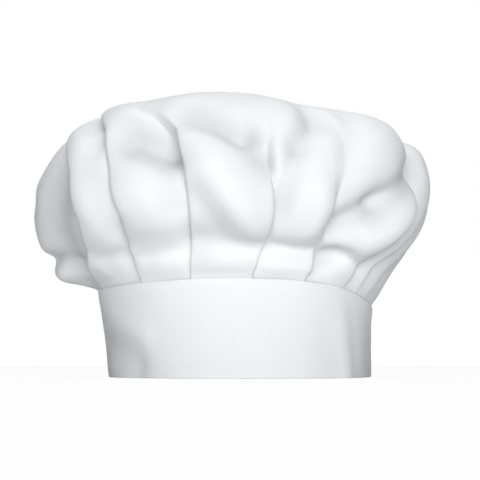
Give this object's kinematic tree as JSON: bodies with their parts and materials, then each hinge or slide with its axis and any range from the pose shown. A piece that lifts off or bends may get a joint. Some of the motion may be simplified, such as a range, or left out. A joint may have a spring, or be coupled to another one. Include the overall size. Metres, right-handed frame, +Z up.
{
  "type": "chef hat",
  "caption": "Soft chef hat with a low puffed crown in knife pleats, sewn to a plain upright band and open underneath.",
  "frame": {"origin": "middle of the hat's box, on the surface that the band's hem rests on", "axes": "+Z up through the crown, -Y to the front that the picture shows, +X to the right in the picture"},
  "size_m": [0.2984, 0.2783, 0.2048],
  "materials": {
    "band_cloth": "matt white twill, doubled and pressed",
    "crown_cloth": "matt white twill, one layer, softly creased"
  },
  "bodies": {
    "root": {"band": "band_cloth", "crown": "crown_cloth"}
  },
  "joints": []
}
